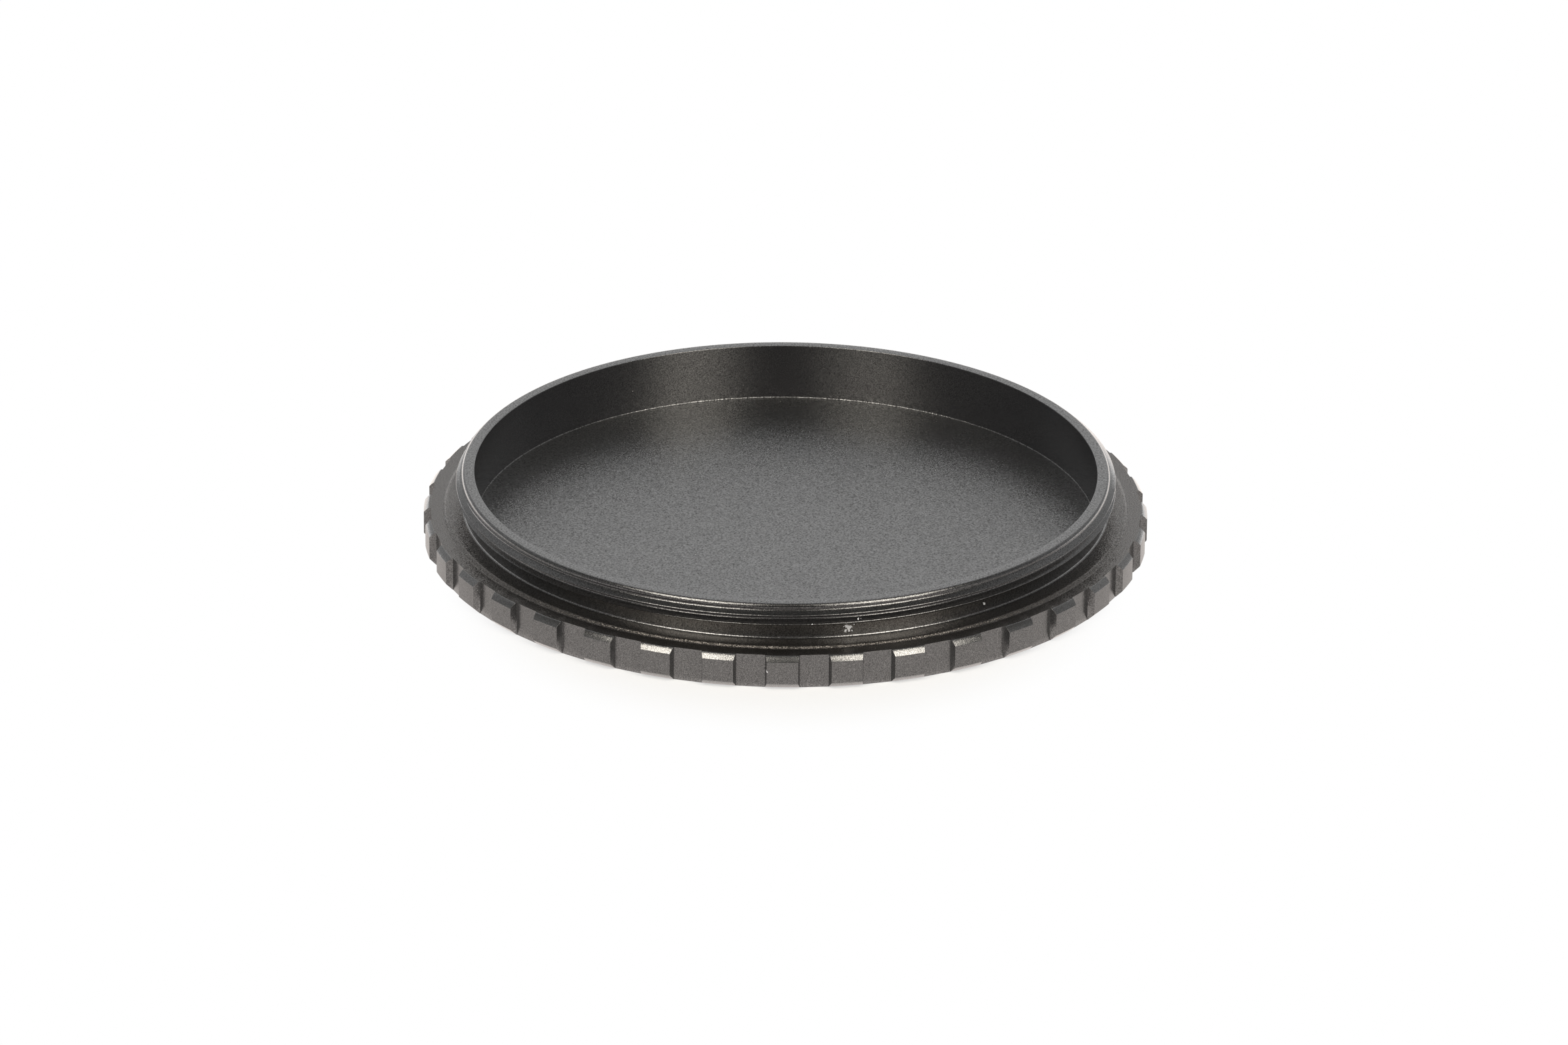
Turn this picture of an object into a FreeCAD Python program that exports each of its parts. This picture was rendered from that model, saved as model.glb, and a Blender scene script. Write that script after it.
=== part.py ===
import FreeCAD, Part
import math
import os

import Sketcher

# Screw-in dust cap for a lens with a 52 mm filter thread, in millimetres.
# It is one turned piece, milled round its grip. It lies on its closed outer face at Z = 0,
# with its axis on Z, the threaded collar up and a land of the grip facing -Y.

doc = FreeCAD.newDocument("dust_cap")

# Driving sizes
SIZES = [
    ("thread_diameter", 51.9, "outside of the male thread, M52 x 0.75"),
    ("grip_overhang", 2.55, "radial step from the thread out to the grip"),
    ("grip_height", 2.7, "height of the grip flange"),
    ("bottom_chamfer", 0.5, "edge of the lands at the closed face"),
    ("top_chamfer", 0.4, "edge of the lands at the flange's top"),
    ("notch_count", 36, "milled notches round the grip"),
    ("notch_depth", 0.55, "depth of a notch at its middle, past the foot chamfer"),
    ("notch_floor_width", 2.2, "flat floor of a notch"),
    ("notch_flare", 20, "lean of a notch's walls off the radius, degrees"),
    ("seat_width", 0.75, "radial step from the thread out to the edge of the raised seat"),
    ("seat_rise", 0.2, "height of the seat above the flange's top"),
    ("seat_slope", 45, "slope of the seat's edge, degrees"),
    ("collar_height", 2.9, "collar from the seat to the rim"),
    ("relief_depth", 0.6, "radial depth of the thread relief"),
    ("relief_width", 0.9, "straight wall of the thread relief"),
    ("relief_corner", 0.28, "corner radius between the seat and the relief"),
    ("flank_angle", 30, "thread flank off the horizontal, degrees"),
    ("pilot_step", 0.45, "radial step from the thread in to the plain rim"),
    ("pilot_height", 0.35, "plain rim above the thread"),
    ("rim_round", 0.25, "rounded outer edge of the rim"),
    ("collar_wall", 0.85, "wall between the relief and the recess"),
    ("floor_thickness", 1.25, "closed face to the recess floor"),
    ("floor_corner", 0.18, "corner radius of the recess floor"),
    ("mouth_break", 0.1, "broken edge at the mouth of the recess"),
]

sheet = doc.addObject("Spreadsheet::Sheet", "Sizes")
for row, (alias, number, note) in enumerate(SIZES, 1):
    sheet.set(f"A{row}", alias)
    sheet.set(f"B{row}", str(number))
    sheet.setAlias(f"B{row}", alias)
    sheet.set(f"C{row}", note)
doc.recompute()

# Places that several features share, from the driving sizes
THREAD_RADIUS = "Sizes.thread_diameter / 2"
GRIP_RADIUS = f"{THREAD_RADIUS} + Sizes.grip_overhang"
SEAT_RADIUS = f"{THREAD_RADIUS} + Sizes.seat_width"
RELIEF_RADIUS = f"{THREAD_RADIUS} - Sizes.relief_depth"
PILOT_RADIUS = f"{THREAD_RADIUS} - Sizes.pilot_step"
RECESS_RADIUS = f"{RELIEF_RADIUS} - Sizes.collar_wall"
NOTCH_FLOOR = f"{GRIP_RADIUS} - Sizes.notch_depth"
NOTCH_MOUTH = f"{GRIP_RADIUS} + Sizes.notch_depth"
SEAT_HEIGHT = "Sizes.grip_height + Sizes.seat_rise"
RIM_HEIGHT = f"{SEAT_HEIGHT} + Sizes.collar_height"
PILOT_FOOT = f"{RIM_HEIGHT} - Sizes.pilot_height"
FLOOR_HEIGHT = "Sizes.floor_thickness"

MATCH = 1e-4  # how closely an edge must agree with the place it is looked for


def value(expression):
    return float(sheet.evalExpression(expression))


body = doc.addObject("PartDesign::Body", "dust_cap")
body.Label = "dust_cap"


def plane(role):
    return next(item for item in body.Origin.OriginFeatures if item.Role == role)


def new_sketch(name, role):
    sketch = body.newObject("Sketcher::SketchObject", name)
    sketch.AttachmentSupport = [(plane(role), "")]
    sketch.MapMode = "FlatFace"
    return sketch


def draw_outline(sketch, corners):
    """Joins the corners with lines into a closed outline; line k starts at corner k."""
    points = [FreeCAD.Vector(x, y, 0) for x, y in corners]
    for start, end in zip(points, points[1:] + points[:1]):
        sketch.addGeometry(Part.LineSegment(start, end))
    for line in range(len(points)):
        sketch.addConstraint(Sketcher.Constraint("Coincident", line, 2, (line + 1) % len(points), 1))


def bind(sketch, name, expression, kind, *places):
    """Adds a named dimension to the sketch and ties it to the sheet."""
    number = value(expression)
    if kind == "Angle":
        number = math.radians(number)
    index = sketch.addConstraint(Sketcher.Constraint(kind, *places, number))
    sketch.renameConstraint(index, name)
    sketch.setExpression(f"Constraints.{name}", expression)


def ring(feature, radius, height):
    """Finds the round edge of that radius at that height on a feature."""
    for number, edge in enumerate(feature.Shape.Edges, 1):
        curve = edge.Curve
        if not isinstance(curve, Part.Circle):
            continue
        if abs(curve.Radius - value(radius)) < MATCH and abs(curve.Center.z - value(height)) < MATCH:
            return f"Edge{number}"
    raise RuntimeError(f"{feature.Name} has no round edge at {radius}, {height}")


def break_edge(kind, name, base, radius, height, size):
    """Chamfers or fillets one round edge of the base feature."""
    feature = body.newObject(f"PartDesign::{kind}", name)
    feature.Base = (base, [ring(base, radius, height)])
    feature.setExpression("Size" if kind == "Chamfer" else "Radius", size)
    doc.recompute()
    return feature


# Turned blank: flange, raised seat, thread relief and collar in one section
ORIGIN = (-1, 1)
BOTTOM, SIDE, TOP, SLOPE, SEAT, RELIEF, FLANK, THREAD, LEAD, PILOT, RIM, AXIS = range(12)
slope_run = value("Sizes.seat_rise / tan(Sizes.seat_slope * 1 deg)")
flank_rise = value("Sizes.relief_depth * tan(Sizes.flank_angle * 1 deg)")
lead_rise = value("Sizes.pilot_step * tan(Sizes.flank_angle * 1 deg)")
relief_top = value(f"{SEAT_HEIGHT} + Sizes.relief_width")

section = new_sketch("turned_section", "XZ_Plane")
draw_outline(section, [
    (0, 0),
    (value(GRIP_RADIUS), 0),
    (value(GRIP_RADIUS), value("Sizes.grip_height")),
    (value(SEAT_RADIUS) + slope_run, value("Sizes.grip_height")),
    (value(SEAT_RADIUS), value(SEAT_HEIGHT)),
    (value(RELIEF_RADIUS), value(SEAT_HEIGHT)),
    (value(RELIEF_RADIUS), relief_top),
    (value(THREAD_RADIUS), relief_top + flank_rise),
    (value(THREAD_RADIUS), value(PILOT_FOOT) - lead_rise),
    (value(PILOT_RADIUS), value(PILOT_FOOT)),
    (value(PILOT_RADIUS), value(RIM_HEIGHT)),
    (0, value(RIM_HEIGHT)),
])
section.addConstraint(Sketcher.Constraint("Coincident", BOTTOM, 1, *ORIGIN))
for line in (BOTTOM, TOP, SEAT, RIM):
    section.addConstraint(Sketcher.Constraint("Horizontal", line))
for line in (SIDE, RELIEF, THREAD, PILOT, AXIS):
    section.addConstraint(Sketcher.Constraint("Vertical", line))
bind(section, "grip_radius", GRIP_RADIUS, "DistanceX", *ORIGIN, BOTTOM, 2)
bind(section, "grip_height", "Sizes.grip_height", "DistanceY", SIDE, 1, SIDE, 2)
bind(section, "seat_radius", SEAT_RADIUS, "DistanceX", *ORIGIN, SLOPE, 2)
bind(section, "seat_rise", "Sizes.seat_rise", "DistanceY", SLOPE, 1, SLOPE, 2)
bind(section, "seat_slope", "180 - Sizes.seat_slope", "Angle", SLOPE)
bind(section, "relief_radius", RELIEF_RADIUS, "DistanceX", *ORIGIN, RELIEF, 1)
bind(section, "relief_width", "Sizes.relief_width", "DistanceY", RELIEF, 1, RELIEF, 2)
bind(section, "thread_radius", THREAD_RADIUS, "DistanceX", *ORIGIN, THREAD, 1)
bind(section, "flank_angle", "Sizes.flank_angle", "Angle", FLANK)
bind(section, "pilot_radius", PILOT_RADIUS, "DistanceX", *ORIGIN, PILOT, 1)
bind(section, "pilot_height", "Sizes.pilot_height", "DistanceY", PILOT, 1, PILOT, 2)
bind(section, "lead_angle", "180 - Sizes.flank_angle", "Angle", LEAD)
bind(section, "rim_height", RIM_HEIGHT, "DistanceY", *ORIGIN, RIM, 1)

blank = body.newObject("PartDesign::Revolution", "turned_blank")
blank.Profile = section
blank.ReferenceAxis = (section, ["V_Axis"])
blank.Angle = 360
doc.recompute()

foot = break_edge("Chamfer", "grip_foot", blank, GRIP_RADIUS, "0", "Sizes.bottom_chamfer")
crown = break_edge("Chamfer", "grip_crown", foot, GRIP_RADIUS, "Sizes.grip_height", "Sizes.top_chamfer")
rim = break_edge("Fillet", "rim_edge", crown, PILOT_RADIUS, RIM_HEIGHT, "Sizes.rim_round")
break_edge("Fillet", "relief_root", rim, RELIEF_RADIUS, SEAT_HEIGHT, "Sizes.relief_corner")

# Recess bored from the rim down to the floor
mouth = new_sketch("recess_mouth", "XY_Plane")
mouth.setExpression("AttachmentOffset.Base.z", RIM_HEIGHT)
mouth.addGeometry(Part.Circle(FreeCAD.Vector(0, 0, 0), FreeCAD.Vector(0, 0, 1), value(RECESS_RADIUS)))
mouth.addConstraint(Sketcher.Constraint("Coincident", 0, 3, *ORIGIN))
bind(mouth, "recess_radius", RECESS_RADIUS, "Radius", 0)

recess = body.newObject("PartDesign::Pocket", "recess")
recess.Profile = mouth
recess.setExpression("Length", f"{RIM_HEIGHT} - {FLOOR_HEIGHT}")
doc.recompute()

root = break_edge("Fillet", "floor_root", recess, RECESS_RADIUS, FLOOR_HEIGHT, "Sizes.floor_corner")
turned = break_edge("Chamfer", "mouth_edge", root, RECESS_RADIUS, RIM_HEIGHT, "Sizes.mouth_break")

# One notch, half a pitch from the land that faces -Y, milled through the flange and repeated round it
FLOOR, WALL, MOUTH = range(3)
half_floor = value("Sizes.notch_floor_width / 2")
half_mouth = half_floor + value("2 * Sizes.notch_depth * tan(Sizes.notch_flare * 1 deg)")

outline = new_sketch("notch_outline", "XY_Plane")
outline.setExpression("AttachmentOffset.Rotation.Angle", "-90 deg + 180 deg / Sizes.notch_count")
draw_outline(outline, [
    (value(NOTCH_FLOOR), -half_floor),
    (value(NOTCH_FLOOR), half_floor),
    (value(NOTCH_MOUTH), half_mouth),
    (value(NOTCH_MOUTH), -half_mouth),
])
outline.addConstraint(Sketcher.Constraint("Symmetric", FLOOR, 1, FLOOR, 2, -1))
outline.addConstraint(Sketcher.Constraint("Symmetric", MOUTH, 1, MOUTH, 2, -1))
bind(outline, "notch_floor", NOTCH_FLOOR, "DistanceX", *ORIGIN, FLOOR, 1)
bind(outline, "notch_mouth", NOTCH_MOUTH, "DistanceX", *ORIGIN, MOUTH, 1)
bind(outline, "floor_width", "Sizes.notch_floor_width", "DistanceY", FLOOR, 1, FLOOR, 2)
bind(outline, "flare", "Sizes.notch_flare", "Angle", WALL)

notch = body.newObject("PartDesign::Pocket", "notch")
notch.Profile = outline
notch.Type = "ThroughAll"
notch.Reversed = True
doc.recompute()
if not notch.Shape.Volume < turned.Shape.Volume:
    raise RuntimeError("the notch cuts nothing")

notches = body.newObject("PartDesign::PolarPattern", "notches")
notches.Originals = [notch]
notches.Axis = (outline, ["N_Axis"])
notches.Angle = 360
notches.setExpression("Occurrences", "Sizes.notch_count")
body.Tip = notches
doc.recompute()

# Everything has to be sound before it is written
for item in doc.Objects:
    if "Invalid" in item.State or "Error" in item.State:
        raise RuntimeError(f"{item.Name} failed: {item.State}")
if body.Shape.isNull() or not body.Shape.isValid() or len(body.Shape.Solids) != 1:
    raise RuntimeError("dust_cap is not one sound solid")

os.makedirs("parts", exist_ok=True)
body.Shape.exportStep(f"parts/{body.Label}.step")
box = body.Shape.BoundBox
extent = " x ".join(f"{length:.2f}" for length in (box.XLength, box.YLength, box.ZLength))
print(f"{body.Label}: {extent} mm, {body.Shape.Volume:.0f} mm3")
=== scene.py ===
import math

import bmesh
import bpy
from mathutils import Matrix, Vector


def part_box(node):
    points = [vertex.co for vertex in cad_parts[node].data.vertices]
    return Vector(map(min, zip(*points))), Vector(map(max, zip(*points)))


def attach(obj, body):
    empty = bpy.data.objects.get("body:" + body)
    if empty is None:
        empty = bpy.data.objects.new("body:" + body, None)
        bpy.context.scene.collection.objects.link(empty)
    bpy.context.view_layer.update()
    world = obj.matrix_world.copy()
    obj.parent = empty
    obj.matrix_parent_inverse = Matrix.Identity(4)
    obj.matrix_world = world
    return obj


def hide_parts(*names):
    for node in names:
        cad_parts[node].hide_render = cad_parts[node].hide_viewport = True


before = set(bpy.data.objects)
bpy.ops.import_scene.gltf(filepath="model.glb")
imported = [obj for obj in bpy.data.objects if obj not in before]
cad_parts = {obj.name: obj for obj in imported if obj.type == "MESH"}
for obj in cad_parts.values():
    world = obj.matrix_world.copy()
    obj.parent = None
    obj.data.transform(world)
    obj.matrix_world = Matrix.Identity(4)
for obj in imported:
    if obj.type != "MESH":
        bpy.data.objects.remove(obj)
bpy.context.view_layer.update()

capLow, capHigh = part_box("dust_cap")
mm = 0.001

print("frame loaded, cap is", [round((b - a) / mm, 2) for a, b in zip(capLow, capHigh)], "mm")


# Small hand tools: all modelling is in millimetres until the cap is finished

bench = {
    "touch": 0.001,
    "seam": 0.002,
    "roundProfile": 0.5,
    "smoothAngle": 18,
    "normalWeight": 70,
}


def clearSelection():
    bpy.ops.object.select_all(action="DESELECT")


def takeUp(piece):
    clearSelection()
    piece.select_set(True)
    bpy.context.view_layer.objects.active = piece


def pick(piece, mode, rule):
    # selects the corners, edges or faces that the rule says yes to
    bpy.ops.mesh.select_mode(type=mode)
    bpy.ops.mesh.select_all(action="DESELECT")
    mesh = bmesh.from_edit_mesh(piece.data)
    for item in {"VERT": mesh.verts, "EDGE": mesh.edges, "FACE": mesh.faces}[mode]:
        item.select_set(rule(item))
    mesh.select_flush_mode()
    bmesh.update_edit_mesh(piece.data)


def drawSection(name, corners):
    # a plane shrunk to one point, then extruded from corner to corner in the XZ plane
    clearSelection()
    bpy.ops.mesh.primitive_plane_add(size=1)
    piece = bpy.context.object
    piece.name = name
    bpy.ops.object.mode_set(mode="EDIT")
    bpy.ops.mesh.select_mode(type="VERT")
    bpy.ops.mesh.select_all(action="SELECT")
    bpy.ops.mesh.merge(type="CENTER")
    bpy.ops.transform.translate(value=(corners[0][0], 0, corners[0][1]))
    for here, there in zip(corners, corners[1:]):
        step = (there[0] - here[0], 0, there[1] - here[1])
        bpy.ops.mesh.extrude_region_move(TRANSFORM_OT_translate={"value": step})
    return piece


def roundCorner(piece, corner, reach, segments):
    # reach is how far along each side the rounding runs
    def atCorner(vert):
        return math.hypot(vert.co.x - corner[0], vert.co.z - corner[1]) < bench["touch"]

    pick(piece, "VERT", atCorner)
    bpy.ops.mesh.bevel(
        offset=reach, segments=segments, profile=bench["roundProfile"], affect="VERTICES", clamp_overlap=False
    )


def mergeSeams():
    bpy.ops.mesh.select_all(action="SELECT")
    bpy.ops.mesh.remove_doubles(threshold=bench["seam"])
    bpy.ops.mesh.select_all(action="SELECT")


def closeSeams():
    mergeSeams()
    bpy.ops.mesh.normals_make_consistent(inside=False)


def applyModifier(piece, kind, **settings):
    takeUp(piece)
    bpy.ops.object.modifier_add(type=kind)
    modifier = piece.modifiers[-1]
    for key, value in settings.items():
        setattr(modifier, key, value)
    bpy.ops.object.modifier_apply(modifier=modifier.name)


def cutAway(piece, cutter):
    applyModifier(piece, "BOOLEAN", operation="DIFFERENCE", solver="EXACT", object=cutter)
    bpy.data.objects.remove(cutter)


# The turned blank: one section, spun round the axis

blank = {
    "gripRadius": (capHigh.x - capLow.x) / 2 / mm,
    "height": (capHigh.z - capLow.z) / mm,
    "gripHeight": 2.7,
    "footChamfer": 0.5,
    "crownChamfer": 0.4,
    "crownSwell": 0.012,
    "seatHeight": 2.9,
    "seatRadius": 26.7,
    "seatSlope": 39,
    "seatRound": 0.11,
    "reliefRadius": 25.35,
    "reliefTop": 3.95,
    "reliefCorner": 0.16,
    "flankAngle": 30,
    "threadRadius": 25.95,
    "pilotRadius": 25.5,
    "pilotHeight": 0.3,
    "rimRound": 0.29,
    "leadIn": 0.25,
    "recessRadius": 24.5,
    "floorHeight": 1.25,
    "floorCorner": 0.10,
    "mouthBreak": 0.05,
    "edgeBreak": 0.03,
    "breakSegments": 2,
    "roundSegments": 6,
    "rimSegments": 8,
    "steps": 360,
}


def turnBlank(size):
    grip = size["gripRadius"]
    foot = (grip - size["footChamfer"], 0)
    gripFoot = (grip, size["footChamfer"])
    gripHead = (grip, size["gripHeight"] - size["crownChamfer"])
    crownIn = size["crownChamfer"] / 2 - size["crownSwell"]
    crownMiddle = (grip - crownIn, size["gripHeight"] - crownIn)
    crown = (grip - size["crownChamfer"], size["gripHeight"])
    rise = size["seatHeight"] - size["gripHeight"]
    ramp = (size["seatRadius"] + rise / math.tan(math.radians(size["seatSlope"])), size["gripHeight"])
    seat = (size["seatRadius"], size["seatHeight"])
    reliefFoot = (size["reliefRadius"], size["seatHeight"])
    reliefHead = (size["reliefRadius"], size["reliefTop"])
    crest = size["threadRadius"]
    flankRise = (crest - size["reliefRadius"]) * math.tan(math.radians(size["flankAngle"]))
    threadFoot = (crest, size["reliefTop"] + flankRise)
    pilotFoot = size["height"] - size["pilotHeight"]
    threadHead = (crest, pilotFoot - size["leadIn"])
    rim = (size["pilotRadius"], size["height"])
    mouth = (size["recessRadius"], size["height"])
    floorEdge = (size["recessRadius"], size["floorHeight"])
    cap = drawSection("screw_cap", [
        (0, 0),
        foot,
        gripFoot,
        gripHead,
        crownMiddle,
        crown,
        ramp,
        seat,
        reliefFoot,
        reliefHead,
        threadFoot,
        threadHead,
        (size["pilotRadius"], pilotFoot),
        rim,
        mouth,
        floorEdge,
        (0, size["floorHeight"]),
    ])
    roundCorner(cap, reliefFoot, size["reliefCorner"], size["roundSegments"])
    roundCorner(cap, floorEdge, size["floorCorner"], size["roundSegments"])
    roundCorner(cap, mouth, size["mouthBreak"], size["roundSegments"])
    roundCorner(cap, rim, size["rimRound"], size["rimSegments"])
    for corner in (ramp, seat):
        roundCorner(cap, corner, size["seatRound"], size["roundSegments"])
    for corner in (foot, gripFoot, gripHead, crown, reliefHead, threadHead):
        roundCorner(cap, corner, size["edgeBreak"], size["breakSegments"])
    bpy.ops.mesh.select_all(action="SELECT")
    bpy.ops.mesh.spin(steps=size["steps"], angle=2 * math.pi, center=(0, 0, 0), axis=(0, 0, 1))
    closeSeams()
    bpy.ops.object.mode_set(mode="OBJECT")
    return cap


cap = turnBlank(blank)
print("blank turned:", len(cap.data.polygons), "faces")


# The grip: flared notches milled straight through the rim, a land at the front

notch = {
    "count": 36,
    "floorRadius": 27.95,
    "floorWidth": 2.2,
    "flare": 20,
    "overrun": 1.0,
    "edgeBreak": 0.025,
    "breakSegments": 2,
    "edgeReach": 0.2,
    "edgeAngle": 24,
}


def millNotches(cap, size, blank):
    reach = blank["gripRadius"] + size["overrun"] - size["floorRadius"]
    depth = blank["gripHeight"] + 2 * size["overrun"]
    mouthWidth = size["floorWidth"] + 2 * reach * math.tan(math.radians(size["flare"]))
    middle = size["floorRadius"] + reach / 2
    clearSelection()
    bpy.ops.mesh.primitive_cube_add(size=1, location=(0, -middle, blank["gripHeight"] / 2))
    cutter = bpy.context.object
    cutter.scale = (size["floorWidth"], reach, depth)
    bpy.ops.object.transform_apply(location=True, rotation=True, scale=True)
    bpy.ops.object.mode_set(mode="EDIT")
    pick(cutter, "VERT", lambda vert: vert.co.y < -middle)
    widen = (mouthWidth / size["floorWidth"], 1, 1)
    bpy.ops.transform.resize(value=widen, center_override=(0, -middle, 0))
    bpy.ops.object.mode_set(mode="OBJECT")
    pitch = 2 * math.pi / size["count"]
    cutter.rotation_euler.z = pitch / 2
    bpy.ops.object.transform_apply(location=True, rotation=True, scale=True)
    bpy.ops.object.mode_set(mode="EDIT")
    bpy.ops.mesh.select_all(action="SELECT")
    bpy.ops.mesh.spin(
        steps=size["count"] - 1, angle=2 * math.pi - pitch, dupli=True, center=(0, 0, 0), axis=(0, 0, 1)
    )
    bpy.ops.object.mode_set(mode="OBJECT")
    cutAway(cap, cutter)
    bpy.ops.object.mode_set(mode="EDIT")
    innermost = size["floorRadius"] - size["edgeReach"]
    sharp = math.radians(size["edgeAngle"])

    def notchEdge(edge):
        if len(edge.link_faces) != 2 or edge.calc_face_angle(0) < sharp:
            return False
        return all(vert.co.xy.length > innermost for vert in edge.verts)

    pick(cap, "EDGE", notchEdge)
    bpy.ops.mesh.bevel(
        offset=size["edgeBreak"], segments=size["breakSegments"], profile=bench["roundProfile"],
        affect="EDGES", clamp_overlap=True,
    )
    bpy.ops.object.mode_set(mode="OBJECT")


millNotches(cap, notch, blank)
print("notches milled:", len(cap.data.polygons), "faces")


# The fine thread: a rounded V swept up a right-hand helix and cut from the collar

thread = {
    "pitch": 0.75,
    "rootRadius": 25.49,
    "rootWidth": 0.165,
    "rootRound": 0.95,
    "rootSegments": 5,
    "flankAngle": 30,
    "breakRadius": 25.93,
    "breakAngle": 50,
    "outerRadius": 25.965,
    "frontRoot": 4.67,
    "startTurn": 0.25,
    "turnsBelow": 2,
    "turns": 4,
    "steps": 360,
}


def cutThread(cap, size):
    # the sweep starts at +X, a quarter turn on from the front, two pitches down in the relief
    startHeight = size["frontRoot"] + size["pitch"] * (size["startTurn"] - size["turnsBelow"])
    rootHalf = size["rootWidth"] / 2
    flank = (size["breakRadius"] - size["rootRadius"]) * math.tan(math.radians(size["flankAngle"]))
    lip = (size["outerRadius"] - size["breakRadius"]) * math.tan(math.radians(size["breakAngle"]))
    half = [
        (size["rootRadius"], rootHalf),
        (size["breakRadius"], rootHalf + flank),
        (size["outerRadius"], rootHalf + flank + lip),
    ]
    lower = [(radius, startHeight - away) for radius, away in reversed(half)]
    upper = [(radius, startHeight + away) for radius, away in half]
    cutter = drawSection("thread_cutter", lower + upper)
    for corner in (lower[-1], upper[0]):
        roundCorner(cutter, corner, rootHalf * size["rootRound"], size["rootSegments"])
    pick(cutter, "VERT", lambda vert: vert.co.x > size["outerRadius"] - bench["touch"])
    bpy.ops.mesh.edge_face_add()
    bpy.ops.object.mode_set(mode="OBJECT")
    applyModifier(
        cutter, "SCREW", axis="Z", angle=2 * math.pi, screw_offset=size["pitch"], iterations=size["turns"],
        steps=size["steps"], render_steps=size["steps"], use_merge_vertices=False,
    )
    bpy.ops.object.mode_set(mode="EDIT")
    mergeSeams()
    bpy.ops.mesh.fill_holes(sides=0)
    closeSeams()
    bpy.ops.object.mode_set(mode="OBJECT")
    cutAway(cap, cutter)


cutThread(cap, thread)
print("thread cut:", len(cap.data.polygons), "faces")


def finishCap(cap):
    takeUp(cap)
    cap.scale = (mm, mm, mm)
    bpy.ops.object.transform_apply(location=True, rotation=True, scale=True)
    bpy.ops.object.shade_smooth_by_angle(angle=math.radians(bench["smoothAngle"]))
    applyModifier(cap, "WEIGHTED_NORMAL", keep_sharp=True, weight=bench["normalWeight"])


def countOpenEdges(piece):
    mesh = bmesh.new()
    mesh.from_mesh(piece.data)
    count = sum(not edge.is_manifold for edge in mesh.edges)
    mesh.free()
    return count


finishCap(cap)
print("cap smoothed, open edges:", countOpenEdges(cap))


# Node tools: each input takes another node's output or a constant

nodeStep = 200
white = (1, 1, 1, 1)
noiseMiddle = (0.5, 0.5, 0.5)


def addNode(tree, kind, **settings):
    node = tree.nodes.new(kind)
    node.location.x = nodeStep * len(tree.nodes)
    for key, value in settings.items():
        if hasattr(node, key):
            setattr(node, key, value)
        else:
            node.inputs[key].default_value = value
    return node


def feed(tree, socket, value):
    if isinstance(value, bpy.types.NodeSocket):
        tree.links.new(value, socket)
    else:
        socket.default_value = value


def reckon(tree, operation, *values):
    node = addNode(tree, "ShaderNodeMath", operation=operation)
    for socket, value in zip(node.inputs, values):
        feed(tree, socket, value)
    return node.outputs["Value"]


def reckonVector(tree, operation, *values, result="Vector"):
    node = addNode(tree, "ShaderNodeVectorMath", operation=operation)
    for socket, value in zip(node.inputs, values):
        feed(tree, socket, value)
    return node.outputs[result]


def stretch(tree, value, fromPair, toPair, ease="LINEAR"):
    node = addNode(tree, "ShaderNodeMapRange", interpolation_type=ease)
    feed(tree, node.inputs["Value"], value)
    for name, pair in (("From", fromPair), ("To", toPair)):
        node.inputs[name + " Min"].default_value = pair[0]
        node.inputs[name + " Max"].default_value = pair[1]
    return node.outputs["Result"]


def blend(tree, kind, factor, first, second):
    node = addNode(tree, "ShaderNodeMix", data_type=kind)
    feed(tree, node.inputs["Factor"], factor)
    feed(tree, node.inputs["A"], first)
    feed(tree, node.inputs["B"], second)
    return node.outputs["Result"]


def addNoise(tree, place, size, detail):
    node = addNode(tree, "ShaderNodeTexNoise", Scale=1 / size, Detail=detail)
    feed(tree, node.inputs["Vector"], place)
    return node


# Finishes of the black anodised metal, sizes in millimetres

anodise = {
    "ior": 2.12,
    "cloudSize": 5.0,
    "cloudDetail": 4,
    "cloudRange": (0.3, 0.7),
    "poreRange": (0.28, 0.72),
    "fineDetail": 1,
    "dust": (0.48, 0.47, 0.44, 1),
    "dustCell": 1.9,
    "dustSize": 0.036,
    "bare": (0.82, 0.83, 0.85, 1),
    "bareRoughness": 0.4,
    "bareMetal": 0.3,
    "nickGrain": 0.2,
    "nickDetail": 2,
    "nickRagged": 4,
    "nickReach": 2.5,
}
blasted = {
    "name": "blasted_anodise",
    "dark": (0.0160, 0.0160, 0.0163, 1),
    "light": (0.0180, 0.0179, 0.0179, 1),
    "tint": white,
    "roughness": (0.25, 0.30),
    "grain": 0.085,
    "lean": 0.48,
    "spark": 1.1,
    "poreSize": 0.145,
    "shine": (0.09, 0.79),
}
coarse = {
    "name": "coarse_anodise",
    "dark": (0.0036, 0.0033, 0.0030, 1),
    "light": (0.0070, 0.0064, 0.0058, 1),
    "tint": (1.0, 0.93, 0.87, 1),
    "roughness": (0.27, 0.31),
    "grain": 0.07,
    "lean": 0.9,
    "spark": 0.8,
    "poreSize": 0.09,
    "shine": (0.09, 0.55),
}
milled = {
    "name": "milled_anodise",
    "dark": (0.0160, 0.0160, 0.0163, 1),
    "light": (0.0180, 0.0179, 0.0179, 1),
    "tint": white,
    "roughness": (0.19, 0.22),
    "grain": 0.065,
    "lean": 0.05,
    "spark": 0.7,
    "poreSize": 0.08,
    "shine": (0.25, 0.75),
}
turned = {
    "name": "turned_anodise",
    "dark": (0.0026, 0.0026, 0.0028, 1),
    "light": (0.0050, 0.0050, 0.0050, 1),
    "tint": white,
    "roughness": (0.18, 0.22),
    "grain": 0.055,
    "lean": 0.10,
    "spark": 0.6,
    "poreSize": 0.10,
    "shine": (0.17, 0.60),
}
grooved = {**turned, "name": "grooved_anodise", "shine": (0.24, 0.86)}
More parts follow.
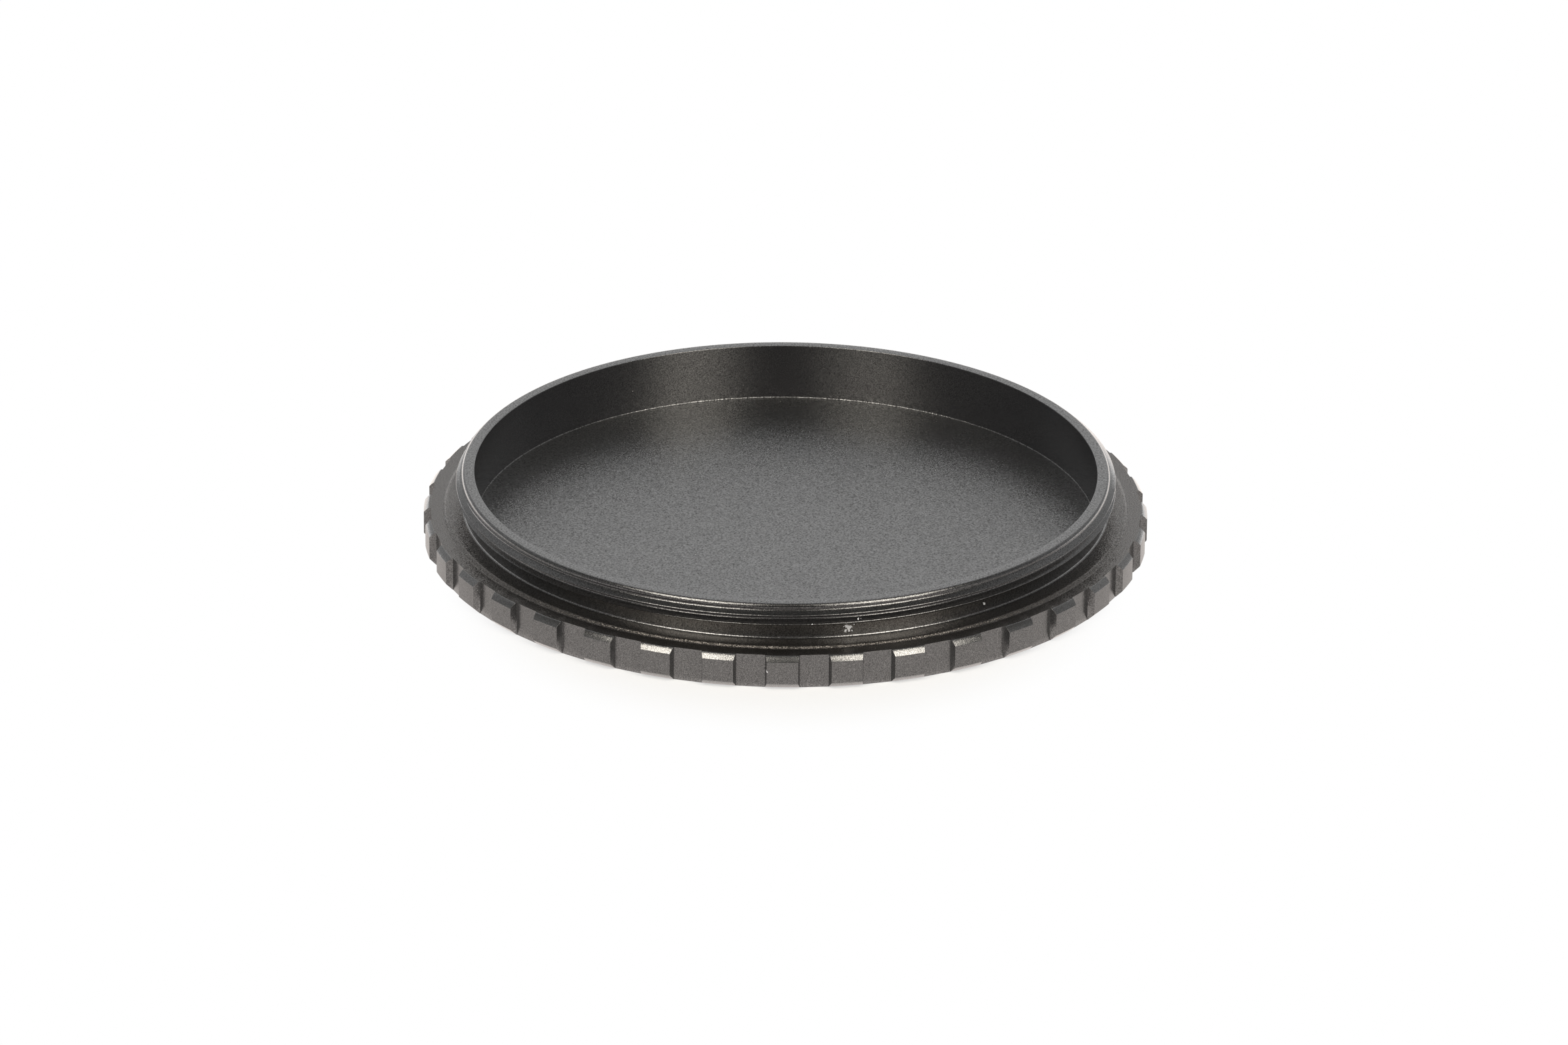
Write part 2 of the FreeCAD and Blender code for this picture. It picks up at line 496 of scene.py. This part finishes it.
bored = {
    **turned,
    "name": "bored_anodise",
    "dark": (0.0131, 0.0129, 0.0140, 1),
    "light": (0.0173, 0.0169, 0.0182, 1),
}

# nicks through to the metal: angle from the front, radius, height and size
nicks = [
    {"angle": 11.5, "radius": 25.36, "height": 3.60, "size": 0.42},
    {"angle": 12.9, "radius": 25.70, "height": 4.46, "size": 0.18},
    {"angle": 37.5, "radius": 25.36, "height": 3.56, "size": 0.14},
    {"angle": 4.9, "radius": 25.85, "height": 4.30, "size": 0.10},
    {"angle": -42.0, "radius": 25.40, "height": 3.95, "size": 0.12},
    {"angle": -2.4, "radius": 28.45, "height": 1.60, "size": 0.14},
]


def nickMask(tree, base, place):
    ragged = addNoise(tree, place, base["nickGrain"], base["nickDetail"]).outputs["Fac"]
    worn = 0
    for nick in nicks:
        turn = math.radians(nick["angle"])
        middle = (nick["radius"] * math.sin(turn), -nick["radius"] * math.cos(turn), nick["height"])
        away = reckonVector(tree, "DISTANCE", place, middle, result="Value")
        edge = reckon(tree, "MULTIPLY_ADD", ragged, nick["size"] * base["nickRagged"], away)
        hit = reckon(tree, "LESS_THAN", edge, nick["size"] * base["nickReach"])
        worn = reckon(tree, "MAXIMUM", worn, hit)
    return worn


def leanNormal(tree, place, base, look):
    # the grain: the surface leans a little, its own way, from spot to spot
    grain = addNoise(tree, place, look["grain"], base["fineDetail"]).outputs["Color"]
    spread = reckonVector(tree, "SUBTRACT", grain, noiseMiddle)
    size = reckonVector(tree, "LENGTH", spread, result="Value")
    amount = reckon(tree, "MULTIPLY_ADD", size, look["spark"], look["lean"])
    tip = reckonVector(tree, "MULTIPLY", spread, amount)
    surface = addNode(tree, "ShaderNodeNewGeometry")
    return reckonVector(tree, "NORMALIZE", reckonVector(tree, "ADD", tip, surface.outputs["Normal"]))


def anodisedFinish(base, look):
    material = bpy.data.materials.new(look["name"])
    material.use_nodes = True
    tree = material.node_tree
    shader = tree.nodes["Principled BSDF"]
    coords = addNode(tree, "ShaderNodeTexCoord")
    inMm = addNode(tree, "ShaderNodeMapping", Scale=(1 / mm, 1 / mm, 1 / mm))
    feed(tree, inMm.inputs["Vector"], coords.outputs["Object"])
    place = inMm.outputs["Vector"]

    # slow patches of deeper and paler dye
    cloud = addNoise(tree, place, base["cloudSize"], base["cloudDetail"]).outputs["Fac"]
    dye = blend(tree, "RGBA", stretch(tree, cloud, base["cloudRange"], (0, 1)), look["dark"], look["light"])
    gloss = stretch(tree, cloud, (0, 1), look["roughness"])

    # fine pores that dull the shine
    pores = addNoise(tree, place, look["poreSize"], base["fineDetail"]).outputs["Fac"]
    shine = stretch(tree, pores, base["poreRange"], look["shine"])

    # a few specks of dust, then nicks where the dye is gone
    specks = addNode(tree, "ShaderNodeTexVoronoi", Scale=1 / base["dustCell"])
    feed(tree, specks.inputs["Vector"], place)
    speck = reckon(tree, "LESS_THAN", specks.outputs["Distance"], base["dustSize"] / base["dustCell"])
    dusty = blend(tree, "RGBA", speck, dye, base["dust"])
    worn = nickMask(tree, base, place)

    feed(tree, shader.inputs["Base Color"], blend(tree, "RGBA", worn, dusty, base["bare"]))
    feed(tree, shader.inputs["Roughness"], blend(tree, "FLOAT", worn, gloss, base["bareRoughness"]))
    feed(tree, shader.inputs["Metallic"], reckon(tree, "MULTIPLY", worn, base["bareMetal"]))
    feed(tree, shader.inputs["Specular IOR Level"], shine)
    feed(tree, shader.inputs["Specular Tint"], look["tint"])
    feed(tree, shader.inputs["IOR"], base["ior"])
    feed(tree, shader.inputs["Normal"], leanNormal(tree, place, base, look))
    return material


# where one finish ends and the next begins: margins in millimetres, the others are shares
zones = {
    "footMargin": 0.01,
    "floorMargin": 0.04,
    "filletShare": 0.9,
    "wallMargin": 0.1,
    "seatMargin": 0.01,
    "rampMargin": 0.05,
    "collarMargin": 0.1,
    "crownMargin": 0.02,
    "rimMargin": 0.005,
    "flangeReach": 1.1,
    "flatNormal": 0.5,
}


def dressCap(cap, size, zone):
    footTop = zone["footMargin"] * mm
    floorEdge = (size["recessRadius"] - zone["floorMargin"]) * mm
    floorTop = (size["floorHeight"] + zone["filletShare"] * size["floorCorner"]) * mm
    wallOuter = (size["recessRadius"] + zone["wallMargin"]) * mm
    seatTop = (size["seatHeight"] - zone["seatMargin"]) * mm
    rampInner = (size["seatRadius"] - zone["rampMargin"]) * mm
    reliefTop = size["reliefTop"] * mm
    reliefOuter = (size["reliefRadius"] + size["reliefCorner"]) * mm
    collarOuter = (size["threadRadius"] + zone["collarMargin"]) * mm
    flangeInner = size["threadRadius"] * mm
    flangeOuter = (size["gripRadius"] - size["crownChamfer"] - zone["crownMargin"]) * mm
    rimTop = (size["height"] - zone["rimMargin"]) * mm

    def turnedFace(face):
        middle = face.calc_center_median()
        return seatTop < middle.z < rimTop and wallOuter < middle.xy.length < collarOuter

    def milledFace(face):
        middle = face.calc_center_median()
        return footTop < middle.z < seatTop and middle.xy.length > rampInner

    def flangeFace(face):
        middle = face.calc_center_median()
        if face.normal.z < zone["flatNormal"] or middle.z > zone["flangeReach"] * seatTop:
            return False
        return flangeInner < middle.xy.length < flangeOuter

    def boredFace(face):
        middle = face.calc_center_median()
        return middle.z > floorTop and floorEdge < middle.xy.length < wallOuter

    def groovedFace(face):
        middle = face.calc_center_median()
        return seatTop < middle.z < reliefTop and wallOuter < middle.xy.length < reliefOuter

    # the first finish is left on every face that no rule takes
    finishes = [
        (blasted, None),
        (turned, turnedFace),
        (milled, milledFace),
        (coarse, flangeFace),
        (bored, boredFace),
        (grooved, groovedFace),
    ]
    cap.data.materials.clear()
    for look, rule in finishes:
        cap.data.materials.append(anodisedFinish(anodise, look))
    takeUp(cap)
    bpy.ops.object.mode_set(mode="EDIT")
    for slot, (look, rule) in enumerate(finishes):
        if rule:
            pick(cap, "FACE", rule)
            cap.active_material_index = slot
            bpy.ops.object.material_slot_assign()
    bpy.ops.object.mode_set(mode="OBJECT")
    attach(cap, "root")
    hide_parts("dust_cap")


dressCap(cap, blank, zones)
print("cap finished")


# The pale floor, which fades to plain white away from the cap and keeps its shadow near it, in metres

floorLook = {
    "reach": 4.0,
    "drop": 0.00002,
    "colour": (0.92, 0.92, 0.92, 1),
    # the warm colour and the levels below paint the table's reflection in the cap
    "mirrored": (1.0, 0.93, 0.885, 1),
    "mirrorPlace": (0.004, 0.010),
    "paintedReflectionLevel": (1.06, 2.2),
    "footEdge": (0.0283, 0.0286),
    "paintedFootGlow": 1.32,
    "shadowPlace": (0, 0.010, 0),
    "fade": (0.0185, 0.027),
    "glow": 0.45,
}


def layFloor(look):
    clearSelection()
    bpy.ops.mesh.primitive_plane_add(size=2 * look["reach"], location=(0, 0, capLow.z - look["drop"]))
    floor = bpy.context.object
    floor.name = "floor"
    material = bpy.data.materials.new("pale_floor")
    material.use_nodes = True
    tree = material.node_tree
    tree.nodes.clear()
    place = addNode(tree, "ShaderNodeTexCoord").outputs["Object"]
    path = addNode(tree, "ShaderNodeLightPath")
    seen = path.outputs["Is Camera Ray"]

    # to the camera the floor is lit paper near the cap and plain white further out
    shift = addNode(tree, "ShaderNodeMapping", Location=look["shadowPlace"])
    feed(tree, shift.inputs["Vector"], place)
    away = reckonVector(tree, "LENGTH", shift.outputs["Vector"], result="Value")
    fade = stretch(tree, away, look["fade"], (look["glow"], 1), "SMOOTHSTEP")
    # reflections see only the painted glow, never the lit paper or its shadow
    share = reckon(tree, "MAXIMUM", reckon(tree, "MULTIPLY", seen, fade), path.outputs["Is Glossy Ray"])

    # in the cap it shows as a painted reflection: a warm glowing sheet with no real shadow, painted brighter
    # behind the cap and close beneath its foot
    parts = addNode(tree, "ShaderNodeSeparateXYZ")
    feed(tree, parts.inputs["Vector"], place)
    bright = stretch(tree, parts.outputs["Y"], look["mirrorPlace"], look["paintedReflectionLevel"])
    out = reckonVector(tree, "LENGTH", place, result="Value")
    under = stretch(tree, out, look["footEdge"], (look["paintedFootGlow"], 1))
    glow = addNode(tree, "ShaderNodeEmission")
    feed(tree, glow.inputs["Color"], blend(tree, "RGBA", seen, look["mirrored"], white))
    level = blend(tree, "FLOAT", seen, reckon(tree, "MULTIPLY", bright, under), 1)
    feed(tree, glow.inputs["Strength"], level)

    paper = addNode(tree, "ShaderNodeBsdfDiffuse", Color=look["colour"])
    mix = addNode(tree, "ShaderNodeMixShader")
    feed(tree, mix.inputs["Fac"], share)
    feed(tree, mix.inputs[1], paper.outputs["BSDF"])
    feed(tree, mix.inputs[2], glow.outputs["Emission"])
    end = addNode(tree, "ShaderNodeOutputMaterial")
    feed(tree, end.inputs["Surface"], mix.outputs["Shader"])
    floor.data.materials.append(material)


layFloor(floorLook)
print("floor laid")


# The studio: white to the camera, a white sweep behind the cap and a dim room elsewhere.
# Its edges are parts of a unit direction: Y is depth, X is side and Z is height

studio = {
    "room": 0.09,
    "roomSide": 0.4,
    "roomEdge": (0.6, 0.9),
    "fill": 0.2,
    "fillTint": (0.9, 1.0, 1.15, 1),
    "sweep": 1.0,
    "sweepDepth": (0.12, 0.5),
    "sweepEdge": (0.20, 0.45),
    "beside": 0.62,
    "horizon": 1.9,
    "horizonTop": (0.04, 0.13),
    "horizonSide": (0.2, 0.36),
}


def paintStudio(look):
    world = bpy.data.worlds.new("studio")
    bpy.context.scene.world = world
    world.use_nodes = True
    tree = world.node_tree
    tree.nodes.clear()
    ease = "SMOOTHSTEP"
    parts = addNode(tree, "ShaderNodeSeparateXYZ")
    feed(tree, parts.inputs["Vector"], addNode(tree, "ShaderNodeTexCoord").outputs["Generated"])
    path = addNode(tree, "ShaderNodeLightPath")
    seen = path.outputs["Is Camera Ray"]
    mirrored = path.outputs["Is Glossy Ray"]

    behind = stretch(tree, parts.outputs["Y"], look["sweepDepth"], (0, 1), ease)
    off = reckon(tree, "ABSOLUTE", parts.outputs["X"])
    across = stretch(tree, off, look["sweepEdge"], (look["sweep"], look["beside"]), ease)
    front = stretch(tree, off, look["roomEdge"], (look["room"], look["roomSide"]), ease)
    backdrop = blend(tree, "FLOAT", behind, front, across)

    # a bright strip low down behind the cap, on its left and right
    low = stretch(tree, parts.outputs["Z"], look["horizonTop"], (look["horizon"], 0), ease)
    aside = stretch(tree, off, look["horizonSide"], (0, 1), ease)
    corner = reckon(tree, "MULTIPLY", behind, aside)
    room = reckon(tree, "MULTIPLY_ADD", corner, low, backdrop)

    lit = blend(tree, "FLOAT", mirrored, look["fill"], room)
    plain = reckon(tree, "MAXIMUM", seen, mirrored)
    back = addNode(tree, "ShaderNodeBackground")
    feed(tree, back.inputs["Color"], blend(tree, "RGBA", plain, look["fillTint"], white))
    feed(tree, back.inputs["Strength"], blend(tree, "FLOAT", seen, lit, 1))
    end = addNode(tree, "ShaderNodeOutputWorld")
    feed(tree, end.inputs["Surface"], back.outputs["Background"])


paintStudio(studio)

# two tall panels at the front, each given by where its ends are seen from the cap
softbox = {
    "low": {-1: (27.5, 24), 1: (33, 18)},
    "high": (62, 69),
    "share": {-1: 1.0, 1: 0.96},
    "colour": (1.0, 0.94, 0.84),
    "panel": {"distance": 0.7, "breadth": 21, "radiance": 4.9},
    "sheen": {"distance": 0.76, "breadth": 30, "radiance": 2.8},
}


def direction(azimuth, elevation):
    turn = math.radians(azimuth)
    lift = math.radians(elevation)
    return Vector((math.sin(turn) * math.cos(lift), -math.cos(turn) * math.cos(lift), math.sin(lift)))


def standSoftbox(name, side, look, sheet, lightsMatt):
    distance = sheet["distance"]
    low = direction(side * look["low"][side][0], look["low"][side][1]) * distance
    high = direction(side * look["high"][0], look["high"][1]) * distance
    middle = (low + high) / 2
    lengthways = (high - low).normalized()
    across = lengthways.cross(middle.normalized()).normalized()
    outward = across.cross(lengthways)
    lamp = bpy.data.lights.new(name, "AREA")
    lamp.shape = "RECTANGLE"
    lamp.size = 2 * distance * math.tan(math.radians(sheet["breadth"] / 2))
    lamp.size_y = (high - low).length
    lamp.energy = look["share"][side] * sheet["radiance"] * math.pi * lamp.size * lamp.size_y
    lamp.color = look["colour"]
    panel = bpy.data.objects.new(name, lamp)
    panel.visible_diffuse = lightsMatt
    bpy.context.collection.objects.link(panel)
    facing = Matrix((across, lengthways, outward)).transposed().to_4x4()
    panel.matrix_world = Matrix.Translation(middle) @ facing


# each panel has a second lamp that only shows as a reflection, so the table isn't overlit
for side, name in ((-1, "left"), (1, "right")):
    standSoftbox("softbox_" + name, side, softbox, softbox["panel"], True)
    standSoftbox("sheen_" + name, side, softbox, softbox["sheen"], False)
print("studio lit")


# The camera, solved from the rim's ellipses and the spacing of the lands: focal in pixels of the image width

view = {
    "imageWidth": 2353,
    "focal": 14613.57,
    "sensor": 36.0,
    "clip": (0.01, 20),
    "distance": 0.76809,
    "elevation": 24.2876,
    "azimuth": 0.282,
    "aim": (-0.0001134, 0, 0.0011698),
    "roll": 0.494,
}


def placeCamera(look):
    data = bpy.data.cameras.new("camera")
    data.sensor_fit = "HORIZONTAL"
    data.sensor_width = look["sensor"]
    data.lens = look["focal"] / look["imageWidth"] * look["sensor"]
    data.clip_start, data.clip_end = look["clip"]
    camera = bpy.data.objects.new("camera", data)
    bpy.context.collection.objects.link(camera)
    back = direction(look["azimuth"], look["elevation"])
    aim = Matrix.Rotation(math.radians(look["azimuth"]), 3, "Z") @ Vector(look["aim"])
    facing = back.to_track_quat("Z", "Y").to_matrix().to_4x4()
    roll = Matrix.Rotation(math.radians(look["roll"]), 4, "Z")
    camera.matrix_world = Matrix.Translation(aim + back * look["distance"]) @ facing @ roll
    bpy.context.scene.camera = camera


placeCamera(view)
bpy.context.scene.view_settings.view_transform = "Standard"

print("scene ready")
